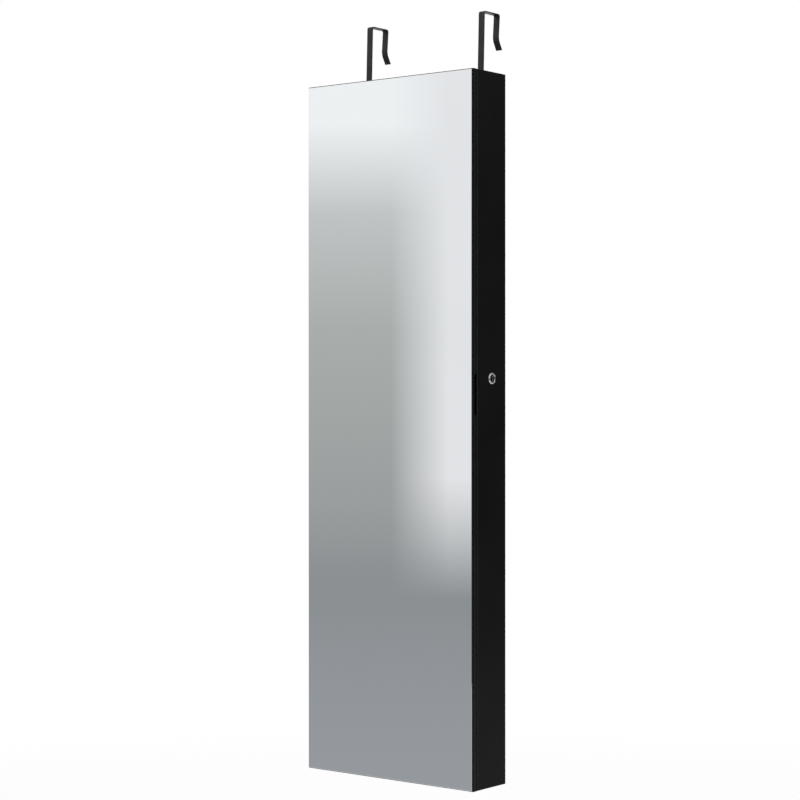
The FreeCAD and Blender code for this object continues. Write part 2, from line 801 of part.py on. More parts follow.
def cam_screw():
    """The flanged screw that clamps the cam on the plug's tail."""
    head_end = cam_flange_thickness + cam_screw_head_height
    steps = [(cam_screw_radius, -cam_screw_length), (cam_screw_radius, 0), (cam_flange_radius, 0),
             (cam_flange_radius, cam_flange_thickness), (cam_screw_head_radius, cam_flange_thickness),
             (cam_screw_head_radius, head_end)]
    return faceted(steps, point(cam_inner_x, lock_y, lock_z), point(-1, 0, 0))


# Door

def finger_pull():
    """The scoop in the door's rear edge that a finger goes into below the lock."""
    middle_z = lock_z - finger_pull_drop
    reach = finger_pull_length / 2 - finger_pull_radius
    low = point(half_width, door_back_y, middle_z - reach)
    high = point(half_width, door_back_y, middle_z + reach)
    scoop = rod(finger_pull_radius, low, high)
    return scoop.fuse([Part.makeSphere(finger_pull_radius, end) for end in (low, high)])


def door_panel():
    """The black board behind the glass, with a softened outer edge at its back."""
    panel = block((-half_width, half_width), (glass_back_y, door_back_y), (bottom_z, top_z))
    panel = panel.makeFillet(edge_round, edges_in_plane(panel, "y", door_back_y))
    cuts = [finger_pull()] + strike_screws(screw_fit) + catch_plate_screws(screw_fit)
    cuts += [screw for level in hinge_levels for screw in hinge_screws_door(level, screw_fit)]
    return panel.cut(cuts)


def mirror_glass():
    """The full-length mirror, glued to the panel, with a bevelled front edge."""
    reach = half_width - glass_inset
    glass = block((-reach, reach), (front_y, glass_back_y), (bottom_z + glass_inset, top_z - glass_inset))
    return glass.makeChamfer(glass_bevel, edges_in_plane(glass, "y", front_y))


def strike_ends():
    """The strike arm's rear end and the ends of its slot, along Y."""
    half = cam_width / 2
    slot_back = lock_y + half + strike_slot_end_play
    slot_front = lock_y - math.hypot(cam_reach, half) - strike_slot_end_play
    slot_front = max(slot_front, door_back_y + strike_thickness + strike_bend)
    return slot_front, slot_back, slot_back + strike_end_bar


def strike_plate():
    """An angle bracket on the door, with a slot that the cam swings up through."""
    slot_front, slot_back, arm_end = strike_ends()
    plate_y = door_back_y + strike_thickness / 2
    half = strike_width / 2
    corners = [(plate_y, strike_z + strike_plate_height), (plate_y, strike_z), (arm_end, strike_z)]
    bracket = bent_strip(corners, strike_bend, strike_thickness, (cam_middle_x - half, cam_middle_x + half))
    slot_half = cam_thickness / 2 + strike_slot_side_play
    slot = block((cam_middle_x - slot_half, cam_middle_x + slot_half), (slot_front, slot_back),
                 (strike_z - strike_thickness, strike_z + strike_thickness))
    return bracket.cut([slot] + strike_screws(screw_fit))


def strike_screws(play=0.0):
    levels = (strike_z + strike_plate_height - strike_screw_inset,
              strike_z + strike_screw_inset + strike_bend)
    return [wood_screw(point(cam_middle_x, door_back_y + strike_thickness, z), point(0, -1, 0),
                       door_screw_length, play) for z in levels]


# Magnetic catches

def catch_case(level):
    """A plastic case on the right side panel, open at the front for the magnet and its poles."""
    half = catch_length / 2
    case = block((inner_half_width - catch_width, inner_half_width), (catch_front_y + pole_step,
                 catch_front_y + pole_step + catch_depth), (level - half, level + half))
    return case.cut([magnet_pack(level)] + catch_screws(screw_fit))


def magnet_pack(level):
    """The space of one magnet between its two pole plates."""
    half = magnet_thickness / 2 + pole_thickness
    return block((catch_middle_x - half, catch_middle_x + half), (catch_front_y, catch_front_y + pole_depth),
                 (level - pole_length / 2, level + pole_length / 2))


def catch_magnet(level):
    """The magnet and its pole plates, which stand a little proud of it."""
    half = magnet_thickness / 2
    recess = block((catch_middle_x - half, catch_middle_x + half), (catch_front_y, catch_front_y + pole_step),
                   (level - pole_length / 2, level + pole_length / 2))
    return magnet_pack(level).cut(recess)


def catch_screws(play=0.0):
    y = catch_front_y + pole_step + catch_depth / 2
    reach = catch_length / 2 - catch_screw_inset
    return [wood_screw(point(inner_half_width - catch_width, y, level + side * reach), point(1, 0, 0),
                       catch_width + catch_screw_bite, play)
            for level in catch_levels for side in (-1, 1)]


def catch_plate(level):
    half = catch_plate_length / 2
    plate = block((inner_half_width - catch_width, inner_half_width), (door_back_y,
                  door_back_y + catch_plate_thickness), (level - half, level + half))
    return plate.cut(catch_plate_screws(screw_fit))


def catch_plate_screws(play=0.0):
    return [wood_screw(point(catch_middle_x, door_back_y + catch_plate_thickness, level), point(0, -1, 0),
                       door_screw_length, play) for level in catch_levels]


def rubber_buffer(level):
    """A buffer with many flats on the front edge of the right side panel."""
    height = body_front_y - door_back_y - buffer_play
    return faceted([(buffer_radius, 0), (buffer_radius, height)],
                   point(leaf_middle_x, body_front_y, level), point(0, -1, 0), buffer_sides)


# The assembly, by the name of each piece

def group(solids):
    return Part.makeCompound(solids)


def assembly():
    pieces = {
        "side_panel_left": side_panel(-1),
        "side_panel_right": side_panel(1),
        "top_panel": end_board(1),
        "bottom_panel": end_board(-1),
        "back_panel": back_panel(),
        "back_lining": back_lining(),
        "hanging_rail": hanging_rail(),
        "carcass_dowels": group(dowels()),
        "back_panel_screws": group(back_screws()),
        "section_shelf": section_shelf(),
        "section_divider": section_divider(),
        "lip_bin": lip(inner_bottom_z, bin_lip_height),
        "ring_tray": ring_tray(),
        "ring_rolls": group(ring_rolls()),
        "earring_posts": group(earring_posts()),
        "earring_panel": earring_panel(),
        "earring_panel_screws": group(earring_panel_screws()),
        "necklace_bar": necklace_bar(),
        "necklace_hooks": group([necklace_hook(x) for x in necklace_hook_xs]),
        "bracelet_rod": bracelet_rod(),
        "rod_sockets": group([rod_socket(side) for side in (-1, 1)]),
        "door_hook_left": door_hook(door_hook_xs[0]),
        "door_hook_right": door_hook(door_hook_xs[1]),
        "door_hook_screws": group(door_hook_screws()),
        "lock_barrel": lock_barrel(),
        "lock_nut": lock_nut(),
        "lock_plug": lock_plug(),
        "lock_cam": lock_cam(),
        "cam_screw": cam_screw(),
        "door_panel": door_panel(),
        "mirror_glass": mirror_glass(),
        "strike_plate": strike_plate(),
        "strike_screws": group(strike_screws()),
        "catch_cases": group([catch_case(level) for level in catch_levels]),
        "catch_magnets": group([catch_magnet(level) for level in catch_levels]),
        "catch_screws": group(catch_screws()),
        "catch_plates": group([catch_plate(level) for level in catch_levels]),
        "catch_plate_screws": group(catch_plate_screws()),
        "rubber_buffers": group([rubber_buffer(level)
                                 for level in (bottom_z + buffer_inset, top_z - buffer_inset)]),
        "hinge_screws_body": group([screw for level in hinge_levels for screw in hinge_screws_body(level)]),
        "hinge_screws_door": group([screw for level in hinge_levels for screw in hinge_screws_door(level)]),
    }
    for name, level in zip(shelf_names, shelf_levels):
        pieces["shelf_" + name] = shelf_board(level).cut(lip_groove(level + shelf_thickness))
        pieces["lip_" + name] = lip(level + shelf_thickness, lip_height)
    for number, level in enumerate(hinge_levels, 1):
        pieces[f"hinge_{number}_body_leaf"] = hinge_leaf(level, on_door=False)
        pieces[f"hinge_{number}_door_leaf"] = hinge_leaf(level, on_door=True)
        pieces[f"hinge_{number}_pin"] = hinge_pin(level)
    return pieces


os.makedirs("parts", exist_ok=True)
for piece_name, piece in assembly().items():
    piece.exportStep(f"parts/{piece_name}.step")
    print(f"{piece_name}: {len(piece.Solids)} solids, {piece.Volume / 1000:.2f} cm3, valid {piece.isValid()}")
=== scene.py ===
import bmesh
import bpy
import json
import math
from mathutils import Matrix, Vector, noise


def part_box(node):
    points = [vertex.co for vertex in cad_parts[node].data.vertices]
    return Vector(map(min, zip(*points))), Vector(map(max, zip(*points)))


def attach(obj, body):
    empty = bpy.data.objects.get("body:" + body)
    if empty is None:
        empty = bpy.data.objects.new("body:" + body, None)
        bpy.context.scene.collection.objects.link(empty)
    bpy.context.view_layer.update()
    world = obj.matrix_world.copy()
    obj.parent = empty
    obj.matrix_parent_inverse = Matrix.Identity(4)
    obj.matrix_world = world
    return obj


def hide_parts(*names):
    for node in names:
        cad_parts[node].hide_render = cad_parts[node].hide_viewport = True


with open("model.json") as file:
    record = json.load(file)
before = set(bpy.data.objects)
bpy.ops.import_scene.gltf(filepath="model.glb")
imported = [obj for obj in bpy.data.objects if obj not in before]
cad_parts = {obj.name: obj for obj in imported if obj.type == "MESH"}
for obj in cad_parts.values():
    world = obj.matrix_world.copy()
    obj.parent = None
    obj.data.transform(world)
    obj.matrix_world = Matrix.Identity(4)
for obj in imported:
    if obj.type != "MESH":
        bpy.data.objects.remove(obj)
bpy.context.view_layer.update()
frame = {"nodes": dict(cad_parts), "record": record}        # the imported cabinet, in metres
nodes = frame["nodes"]
print("frame loaded:", len(nodes), "nodes")

mm = 0.001


# shader helpers: a wire is a socket that takes part in sums, a sheet is the node tree that holds it

class Wire:
    def __init__(self, sheet, socket):
        self.sheet = sheet
        self.socket = socket

    def sum(self, operation, first, second):
        return self.sheet.node("ShaderNodeMath", {"operation": operation}, {0: first, 1: second})

    def __add__(self, other):
        return self.sum("ADD", self, other)

    def __radd__(self, other):
        return self.sum("ADD", other, self)

    def __sub__(self, other):
        return self.sum("SUBTRACT", self, other)

    def __rsub__(self, other):
        return self.sum("SUBTRACT", other, self)

    def __mul__(self, other):
        return self.sum("MULTIPLY", self, other)

    def __rmul__(self, other):
        return self.sum("MULTIPLY", other, self)

    def __pow__(self, other):
        return self.sum("POWER", self, other)

    def least(self, other):
        return self.sum("MINIMUM", self, other)


class Sheet:
    def __init__(self, tree, outputKind):
        self.tree = tree
        self.tree.nodes.clear()
        self.output = self.tree.nodes.new(outputKind)

    def node(self, kind, settings=None, inputs=None, output=0):
        made = self.tree.nodes.new(kind)
        for name, value in (settings or {}).items():
            setattr(made, name, value)
        for name, value in (inputs or {}).items():
            self.feed(made.inputs[name], value)
        return Wire(self, made.outputs[output])

    def feed(self, socket, value):
        if isinstance(value, Wire):
            self.tree.links.new(value.socket, socket)
        else:
            socket.default_value = value

    def show(self, shader):
        self.tree.links.new(shader.socket, self.output.inputs["Surface"])

    def whiteRays(self):
        # 1 for rays that come from the camera, off a shiny piece or through a clear one
        camera, glossy, clear = (self.node("ShaderNodeLightPath", output=f"Is {kind} Ray")
                                 for kind in ("Camera", "Glossy", "Transmission"))
        return (camera + glossy + clear).least(1.0)


class Finish(Sheet):
    def __init__(self, name):
        self.material = bpy.data.materials.new(name)
        self.material.use_nodes = True
        super().__init__(self.material.node_tree, "ShaderNodeOutputMaterial")
        self.place = self.node("ShaderNodeTexCoord", output="Object")

    # patterns over the piece's own coordinates
    def noise(self, scale, detail=2.0, roughness=0.5, stretch=None):
        return self.node("ShaderNodeTexNoise", None, {"Vector": self.stretched(stretch), "Scale": scale,
                                                      "Detail": detail, "Roughness": roughness})

    def cells(self, scale):
        return self.node("ShaderNodeTexVoronoi", None, {"Vector": self.place, "Scale": scale})

    def stretched(self, factors):
        if not factors:
            return self.place
        return self.node("ShaderNodeMapping", {"vector_type": "TEXTURE"},
                         {"Vector": self.place, "Scale": factors})

    def along(self, axis):
        return self.node("ShaderNodeSeparateXYZ", None, {0: self.place}, output=axis)

    # what patterns are made into
    def spread(self, wire, low, high, newLow=0.0, newHigh=1.0):
        return self.node("ShaderNodeMapRange", {"clamp": True},
                         {0: wire, 1: low, 2: high, 3: newLow, 4: newHigh})

    def together(self, first, second, share):
        return first * share + second * (1 - share)

    def wander(self, value, *patterns):
        # a value that goes up and down with each pattern, by its amount
        for pattern, amount in patterns:
            value = value + (pattern - 0.5) * amount
        return value

    def asColour(self, value):
        return value if isinstance(value, Wire) else (*value, 1)

    def mix(self, factor, first, second):
        # the colour sockets 6, 7 and 2 come after those for numbers and vectors
        return self.node("ShaderNodeMix", {"data_type": "RGBA"},
                         {0: factor, 6: self.asColour(first), 7: self.asColour(second)}, output=2)

    def ramp(self, wire, stops):
        made = self.node("ShaderNodeValToRGB", None, {0: wire})
        elements = made.socket.node.color_ramp.elements
        while len(elements) < len(stops):
            elements.new(0.5)
        for element, (place, colour) in zip(elements, stops):
            element.position = place
            element.color = (*colour, 1)
        return made

    def bump(self, height, strength, depth):
        return self.node("ShaderNodeBump", None, {"Height": height, "Strength": strength, "Distance": depth})

    def surface(self, **values):
        shader = self.node("ShaderNodeBsdfPrincipled")
        for name, value in values.items():
            if name == "Base_Color":
                value = self.asColour(value)
            self.feed(shader.socket.node.inputs[name.replace("_", " ")], value)
        self.show(shader)
        return self.material

    def glow(self, colour):
        return self.node("ShaderNodeEmission", None, {"Color": self.asColour(colour), "Strength": 1.0})


# finishes: a pattern is its scale, detail and roughness, a share is the first one's where two come together,
# a wander is how far a pattern moves the roughness, and a relief is its strength and depth in metres

def blackFoil(name, colour, worn):
    look = {"roughness": 0.40, "cloudWander": 0.10, "grainWander": 0.08, "shine": 0.045,
            "cloud": (6.0, 3.0), "grain": (900.0, 2.0, 0.6), "pores": 1440.0,
            "cloudShare": 0.7, "wornFrom": (0.35, 0.75), "grainShare": 0.6, "relief": (0.35, 0.00004)}
    finish = Finish(name)
    cloud = finish.noise(*look["cloud"])
    grain = finish.noise(*look["grain"])
    pores = finish.cells(look["pores"])
    wear = finish.spread(finish.together(cloud, grain, look["cloudShare"]), *look["wornFrom"])
    roughness = finish.wander(look["roughness"], (cloud, look["cloudWander"]), (grain, look["grainWander"]))
    height = finish.together(grain, pores, look["grainShare"])
    return finish.surface(Base_Color=finish.mix(wear, colour, worn), Roughness=roughness,
                          Specular_IOR_Level=look["shine"], Normal=finish.bump(height, *look["relief"]))


def backBoard():
    look = {"colour": (0.020, 0.018, 0.017), "fibre": (0.034, 0.030, 0.028), "fibreFrom": (0.38, 0.66),
            "roughness": 0.72, "wander": 0.2, "shine": 0.25, "cloud": (9.0, 4.0),
            "fibres": (420.0, 3.0, 0.65), "stretch": (3.0, 1.0, 1.0), "fibreShare": 0.6,
            "press": 700.0, "pressShare": 0.6, "relief": (0.5, 0.00008)}
    finish = Finish("backBoard")
    cloud = finish.noise(*look["cloud"])
    fibres = finish.noise(*look["fibres"], stretch=look["stretch"])
    press = finish.cells(look["press"])
    pale = finish.spread(finish.together(fibres, cloud, look["fibreShare"]), *look["fibreFrom"])
    height = finish.together(press, fibres, look["pressShare"])
    return finish.surface(Base_Color=finish.mix(pale, look["colour"], look["fibre"]),
                          Roughness=finish.wander(look["roughness"], (fibres, look["wander"])),
                          Specular_IOR_Level=look["shine"], Normal=finish.bump(height, *look["relief"]))


def velvet():
    look = {"colour": (0.010, 0.0095, 0.011), "brushed": (0.024, 0.023, 0.026), "brushedFrom": (0.42, 0.68),
            "roughness": 0.93, "napGloss": 0.08, "shine": 0.1, "nap": (26.0, 3.0, 0.6),
            "stretch": (1.0, 1.0, 2.2), "pile": (2600.0, 2.0, 0.7), "pileShare": 0.7, "relief": (0.6, 0.0003),
            "sheen": 0.45, "sheenRoughness": 0.45, "sheenTint": (0.55, 0.54, 0.58, 1)}
    finish = Finish("velvet")
    nap = finish.noise(*look["nap"], stretch=look["stretch"])
    pile = finish.noise(*look["pile"])
    colour = finish.mix(finish.spread(nap, *look["brushedFrom"]), look["colour"], look["brushed"])
    height = finish.together(pile, nap, look["pileShare"])
    return finish.surface(Base_Color=colour, Roughness=look["roughness"] - nap * look["napGloss"],
                          Specular_IOR_Level=look["shine"], Sheen_Weight=look["sheen"],
                          Sheen_Roughness=look["sheenRoughness"], Sheen_Tint=look["sheenTint"],
                          Normal=finish.bump(height, *look["relief"]))


def clearAcrylic():
    look = {"colour": (0.965, 0.98, 0.98), "roughness": 0.015, "bending": 1.49,
            "haze": (30.0, 3.0), "hazeFrom": (0.5, 0.8, 0.0, 0.03),
            "scuffs": (500.0, 2.0), "stretch": (6.0, 1.0, 1.0), "scuffsFrom": (0.62, 0.8, 0.0, 0.06),
            "relief": (0.05, 0.0002)}
    finish = Finish("clearAcrylic")
    haze = finish.noise(*look["haze"])
    scuffs = finish.noise(*look["scuffs"], stretch=look["stretch"])
    roughness = (look["roughness"] + finish.spread(haze, *look["hazeFrom"])
                 + finish.spread(scuffs, *look["scuffsFrom"]))
    return finish.surface(Base_Color=look["colour"], Roughness=roughness, Transmission_Weight=1.0,
                          IOR=look["bending"], Normal=finish.bump(haze, *look["relief"]))


def mirrorSilver():
    look = {"colour": (0.90, 0.915, 0.92), "roughness": 0.012,
            "haze": (4.0, 3.0), "hazeFrom": (0.5, 0.9, 0.0, 0.012),
            "specks": (900.0, 1.0), "specksFrom": (0.7, 0.8, 0.0, 0.02),
            "wave": (1.7, 1.0), "relief": (0.02, 0.0004)}
    finish = Finish("mirrorSilver")
    haze = finish.noise(*look["haze"])
    specks = finish.noise(*look["specks"])
    roughness = (look["roughness"] + finish.spread(haze, *look["hazeFrom"])
                 + finish.spread(specks, *look["specksFrom"]))
    return finish.surface(Base_Color=look["colour"], Metallic=1.0, Roughness=roughness,
                          Normal=finish.bump(finish.noise(*look["wave"]), *look["relief"]))


def glassEdge():
    look = {"colour": (0.012, 0.017, 0.016), "ground": (0.03, 0.038, 0.036), "groundFrom": (0.4, 0.7),
            "roughness": 0.22, "wander": 0.2, "shine": 0.45, "scratches": (1500.0, 2.0),
            "stretch": (1.0, 1.0, 5.0), "relief": (0.3, 0.00005)}
    finish = Finish("glassEdge")
    scratches = finish.noise(*look["scratches"], stretch=look["stretch"])
    colour = finish.mix(finish.spread(scratches, *look["groundFrom"]), look["colour"], look["ground"])
    return finish.surface(Base_Color=colour,
                          Roughness=finish.wander(look["roughness"], (scratches, look["wander"])),
                          Specular_IOR_Level=look["shine"], Normal=finish.bump(scratches, *look["relief"]))


def powderCoat():
    look = {"colour": (0.0130, 0.0122, 0.0120), "paler": 1.6, "palerFrom": (0.4, 0.7), "roughness": 0.42,
            "wander": 0.15, "shine": 0.3, "peel": (1400.0, 2.0, 0.5), "cloud": (40.0, 2.0),
            "relief": (0.35, 0.00006)}
    finish = Finish("powderCoat")
    peel = finish.noise(*look["peel"])
    cloud = finish.noise(*look["cloud"])
    paler = [part * look["paler"] for part in look["colour"]]
    colour = finish.mix(finish.spread(cloud, *look["palerFrom"]), look["colour"], paler)
    return finish.surface(Base_Color=colour,
                          Roughness=finish.wander(look["roughness"], (peel, look["wander"])),
                          Specular_IOR_Level=look["shine"], Normal=finish.bump(peel, *look["relief"]))


def metal(name, colour, roughness, wander, brush, depth):
    look = {"dull": 0.78, "cloud": (60.0, 3.0), "lines": (1800.0, 2.0, 0.6), "cloudShare": 0.6,
            "brightFrom": (0.35, 0.7), "strength": 0.25}
    finish = Finish(name)
    cloud = finish.noise(*look["cloud"])
    lines = finish.noise(*look["lines"], stretch=brush)
    dull = [part * look["dull"] for part in colour]
    bright = finish.spread(finish.together(cloud, lines, look["cloudShare"]), *look["brightFrom"])
    return finish.surface(Base_Color=finish.mix(bright, dull, colour), Metallic=1.0,
                          Roughness=finish.wander(roughness, (cloud, wander), (lines, wander)),
                          Normal=finish.bump(lines, look["strength"], depth))


def plastic(name, colour, roughness, shine, grainScale, depth):
    look = {"paler": 1.5, "palerFrom": (0.4, 0.7), "cloud": (35.0, 2.0), "grain": (2.0, 0.6),
            "wander": 0.2, "strength": 0.4}
    finish = Finish(name)
    grain = finish.noise(grainScale, *look["grain"])
    cloud = finish.noise(*look["cloud"])
    paler = [part * look["paler"] for part in colour]
    return finish.surface(Base_Color=finish.mix(finish.spread(cloud, *look["palerFrom"]), colour, paler),
                          Roughness=finish.wander(roughness, (grain, look["wander"])),
                          Specular_IOR_Level=shine, Normal=finish.bump(grain, look["strength"], depth))


def beech():
    look = {"light": (0.56, 0.38, 0.21), "dark": (0.42, 0.26, 0.13), "darkFrom": (0.35, 0.65),
            "roughness": 0.62, "wander": 0.2, "rays": (260.0, 3.0, 0.6), "stretch": (9.0, 1.0, 1.0),
            "relief": (0.3, 0.0001)}
    finish = Finish("beech")
    rays = finish.noise(*look["rays"], stretch=look["stretch"])
    colour = finish.mix(finish.spread(rays, *look["darkFrom"]), look["light"], look["dark"])
    return finish.surface(Base_Color=colour,
                          Roughness=finish.wander(look["roughness"], (rays, look["wander"])),
                          Normal=finish.bump(rays, *look["relief"]))


finishes = {
    "black_board": blackFoil("blackFoil", colour=(0.0053, 0.0048, 0.0054), worn=(0.0084, 0.0078, 0.0085)),
    "back_board": backBoard(),
    "velvet": velvet(),
    "clear_acrylic": clearAcrylic(),
    "mirror": mirrorSilver(),
    "black_steel": powderCoat(),
    "chrome": metal("chrome", colour=(0.80, 0.81, 0.82), roughness=0.06, wander=0.04, brush=(1.0, 1.0, 1.0),
                    depth=0.00001),
    "zinc_steel": metal("zincPlate", colour=(0.55, 0.55, 0.52), roughness=0.30, wander=0.12,
                        brush=(1.0, 1.0, 8.0), depth=0.00003),
    "black_plastic": plastic("blackPlastic", colour=(0.012, 0.012, 0.012), roughness=0.5, shine=0.3,
                             grainScale=1600.0, depth=0.00006),
    "magnet": metal("polePlates", colour=(0.36, 0.35, 0.34), roughness=0.42, wander=0.15,
                    brush=(1.0, 6.0, 1.0), depth=0.00003),
    "rubber": plastic("rubber", colour=(0.016, 0.016, 0.017), roughness=0.78, shine=0.2,
                      grainScale=2400.0, depth=0.00008),
    "dowel_wood": beech(),
}
# a paler foil for the boards' rounded arrises: a painted highlight along the edges
arrisHighlightFoil = blackFoil("foilArrisPaintedHighlight", colour=(0.020, 0.0185, 0.0185), worn=(0.032, 0.030, 0.030))
doorFoil = blackFoil("doorFoil", colour=(0.0070, 0.0080, 0.0078), worn=(0.0105, 0.0118, 0.0115))
slotOf = {row["node"]: row["material_slot"] for row in frame["record"]["subparts"]}
for name, node in nodes.items():
    node.data.materials.clear()
    node.data.materials.append(finishes[slotOf[name]])
print("finishes made:", len(finishes))


# making pieces

weldDistance = 0.002 * mm
flatAngle = 0.5     # degrees between faces that count as one flat face


def bodyOf(node):
    groups = frame["record"]["behaviour"]["bodies"]
    return next(body for body, members in groups.items() if node in members)


def makePiece(name, mesh, body, material, standsFor=(), sharpAngle=35.0, extraMaterials=()):
    data = bpy.data.meshes.new(name)
    mesh.to_mesh(data)
    mesh.free()
    data.materials.append(material)
    for extra in extraMaterials:
        data.materials.append(extra)
    data.shade_smooth()
    data.set_sharp_from_angle(angle=math.radians(sharpAngle))
    piece = bpy.data.objects.new(name, data)
    bpy.context.scene.collection.objects.link(piece)
    even = piece.modifiers.new("evenShading", "WEIGHTED_NORMAL")    # large faces stay flat beside roundings
    even.keep_sharp = True
    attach(piece, body)
    if standsFor:
        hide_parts(*standsFor)
    return piece


def replaceNode(node, ending, mesh, sharpAngle=35.0):
    # a piece that stands for one node, on its body and in its finish
    slotName = slotOf[node]
    return makePiece(node + ending, mesh, bodyOf(node), finishes[slotName], [node], sharpAngle)


def weldedCopy(node):
    mesh = bmesh.new()
    mesh.from_mesh(nodes[node].data)
    bmesh.ops.remove_doubles(mesh, verts=mesh.verts, dist=weldDistance)
    return mesh


def flatFacedCopy(node):
    # a copy of a node's triangles as closed solids with whole flat faces
    mesh = weldedCopy(node)
    bmesh.ops.dissolve_limit(mesh, angle_limit=math.radians(flatAngle), verts=mesh.verts, edges=mesh.edges)
    return mesh


def solidBoxes(node):
    # the box of each separate solid in a node, in order of height and then side
    mesh = weldedCopy(node)
    left = set(mesh.verts)
    boxes = []
    while left:
        island = {left.pop()}
        front = list(island)
        while front:
            vert = front.pop()
            near = {edge.other_vert(vert) for edge in vert.link_edges} - island
            island |= near
            front += near
        left -= island
        low = Vector(min(vert.co[axis] for vert in island) for axis in range(3))
        high = Vector(max(vert.co[axis] for vert in island) for axis in range(3))
        boxes.append((low, high))
    mesh.free()
    return sorted(boxes, key=lambda box: (round(box[0].z, 4), round(box[0].x, 4)))


def bevel(mesh, parts, width, segments, affect="EDGES", clamp=True):
    bmesh.ops.bevel(mesh, geom=parts, offset=width, offset_type="OFFSET", affect=affect, segments=segments,
                    profile=0.5, material=-1, clamp_overlap=clamp)


def sharpEdges(mesh, angle, shortest=0.0):
    return [edge for edge in mesh.edges if edge.is_manifold and edge.calc_face_angle() > math.radians(angle)
            and edge.calc_length() > shortest]


def boxMesh(size, centre=(0, 0, 0)):
    mesh = bmesh.new()
    bmesh.ops.create_cube(mesh, size=1.0)
    bmesh.ops.scale(mesh, vec=size, verts=mesh.verts)
    bmesh.ops.translate(mesh, vec=centre, verts=mesh.verts)
    return mesh


def turned(outline, segments, closed=False):
    # spins an outline of (radius, height) about Z
    mesh = bmesh.new()
    verts = [mesh.verts.new((radius, 0, height)) for radius, height in outline]
    edges = [mesh.edges.new(pair) for pair in zip(verts, verts[1:])]
    if closed:
        edges.append(mesh.edges.new((verts[-1], verts[0])))
    bmesh.ops.spin(mesh, geom=verts + edges, cent=(0, 0, 0), axis=(0, 0, 1), angle=math.tau, steps=segments,
                   use_merge=True)
    bmesh.ops.remove_doubles(mesh, verts=mesh.verts, dist=weldDistance)
    bmesh.ops.recalc_face_normals(mesh, faces=mesh.faces)
    return mesh


def aimed(mesh, way, up, place, turn=0.0):
    # turns a mesh about Z, points its Z along the way and moves it to its place
    aim = Vector(way).to_track_quat("Z", up).to_matrix() @ Matrix.Rotation(turn, 3, "Z")
    bmesh.ops.rotate(mesh, cent=(0, 0, 0), matrix=aim, verts=mesh.verts)
    bmesh.ops.translate(mesh, vec=place, verts=mesh.verts)
    return mesh


def joinedMesh(parts):
    whole = bmesh.new()
    for part in parts:
        data = bpy.data.meshes.new("part")
        part.to_mesh(data)
        part.free()
        whole.from_mesh(data)
        bpy.data.meshes.remove(data)
    return whole


def looseObject(mesh):
    data = bpy.data.meshes.new("loose")
    mesh.to_mesh(data)
    mesh.free()
    piece = bpy.data.objects.new("loose", data)
    bpy.context.scene.collection.objects.link(piece)
    return piece


def bakedMesh(piece):
    # the object's mesh with its modifiers applied; the object itself goes
    graph = bpy.context.evaluated_depsgraph_get()
    data = bpy.data.meshes.new_from_object(piece.evaluated_get(graph))
    mesh = bmesh.new()
    mesh.from_mesh(data)
    bpy.data.objects.remove(piece)
    bpy.data.meshes.remove(data)
    return mesh


def carved(mesh, tool):
    # the mesh with the tool's shape cut out of it
    body, cutter = looseObject(mesh), looseObject(tool)
    cut = body.modifiers.new("cut", "BOOLEAN")
    cut.object = cutter
    cut.operation = "DIFFERENCE"
    cut.solver = "EXACT"
    cut.use_self = True     # the cross tool's two arms overlap
    made = bakedMesh(body)
    bpy.data.objects.remove(cutter)
    return made


# nodes with their long sharp edges rounded, as a saw, a file or foil leaves them

roundings = {
    # node: width of the rounding and shortest edge that gets it, in millimetres
    "necklace_hooks": (0.3, 1.0),
    "strike_plate": (0.35, 3.0),
    "lock_cam": (0.3, 1.5),
    "lip_bin": (0.5, 2.5), "lip_lower": (0.5, 2.5), "lip_middle": (0.5, 2.5), "lip_upper": (0.5, 2.5),
    "shelf_lower": (0.5, 8.0), "shelf_middle": (0.5, 8.0), "shelf_upper": (0.5, 8.0),
    "section_shelf": (0.5, 8.0), "section_divider": (0.5, 8.0),
    "ring_tray": (0.6, 2.5),
    "catch_cases": (0.6, 8.0),
    "catch_plates": (0.15, 8.0),
    "earring_panel": (0.35, 30.0),
    "earring_posts": (0.4, 20.0),
    "bracelet_rod": (0.6, 0.4),
}


def roundNode(node, width, shortest, segments=2):
    mesh = flatFacedCopy(node)
    bevel(mesh, sharpEdges(mesh, angle=40, shortest=shortest * mm), width * mm, segments)
    replaceNode(node, "_rounded", mesh)


for node, (width, shortest) in roundings.items():
    roundNode(node, width, shortest)
print("edges rounded:", len(roundings))


# foiled boards, with a paler foil on their long rounded edges as a painted highlight

foil = {
    "flatNormal": 0.995,    # a face that leans more than this from the axes is part of a rounding
    "shortest": 20.0,
    "faces": {"side_panel_left": finishes["black_board"], "side_panel_right": finishes["black_board"],
              "top_panel": finishes["black_board"], "bottom_panel": finishes["black_board"],
              "door_panel": doorFoil},
}


def foilBoard(node, face):
    mesh = flatFacedCopy(node)
    for side in mesh.faces:
        leans = max(abs(part) for part in side.normal) < foil["flatNormal"]
        longest = max(edge.calc_length() for edge in side.edges)
        # rounding faces take the paler foil, a painted highlight
        side.material_index = 1 if leans and longest > foil["shortest"] * mm else 0
    makePiece(node + "_foiled", mesh, bodyOf(node), face, [node], extraMaterials=[arrisHighlightFoil])


for node, face in foil["faces"].items():
    foilBoard(node, face)
print("boards foiled")


# screws with a cross recess in each head

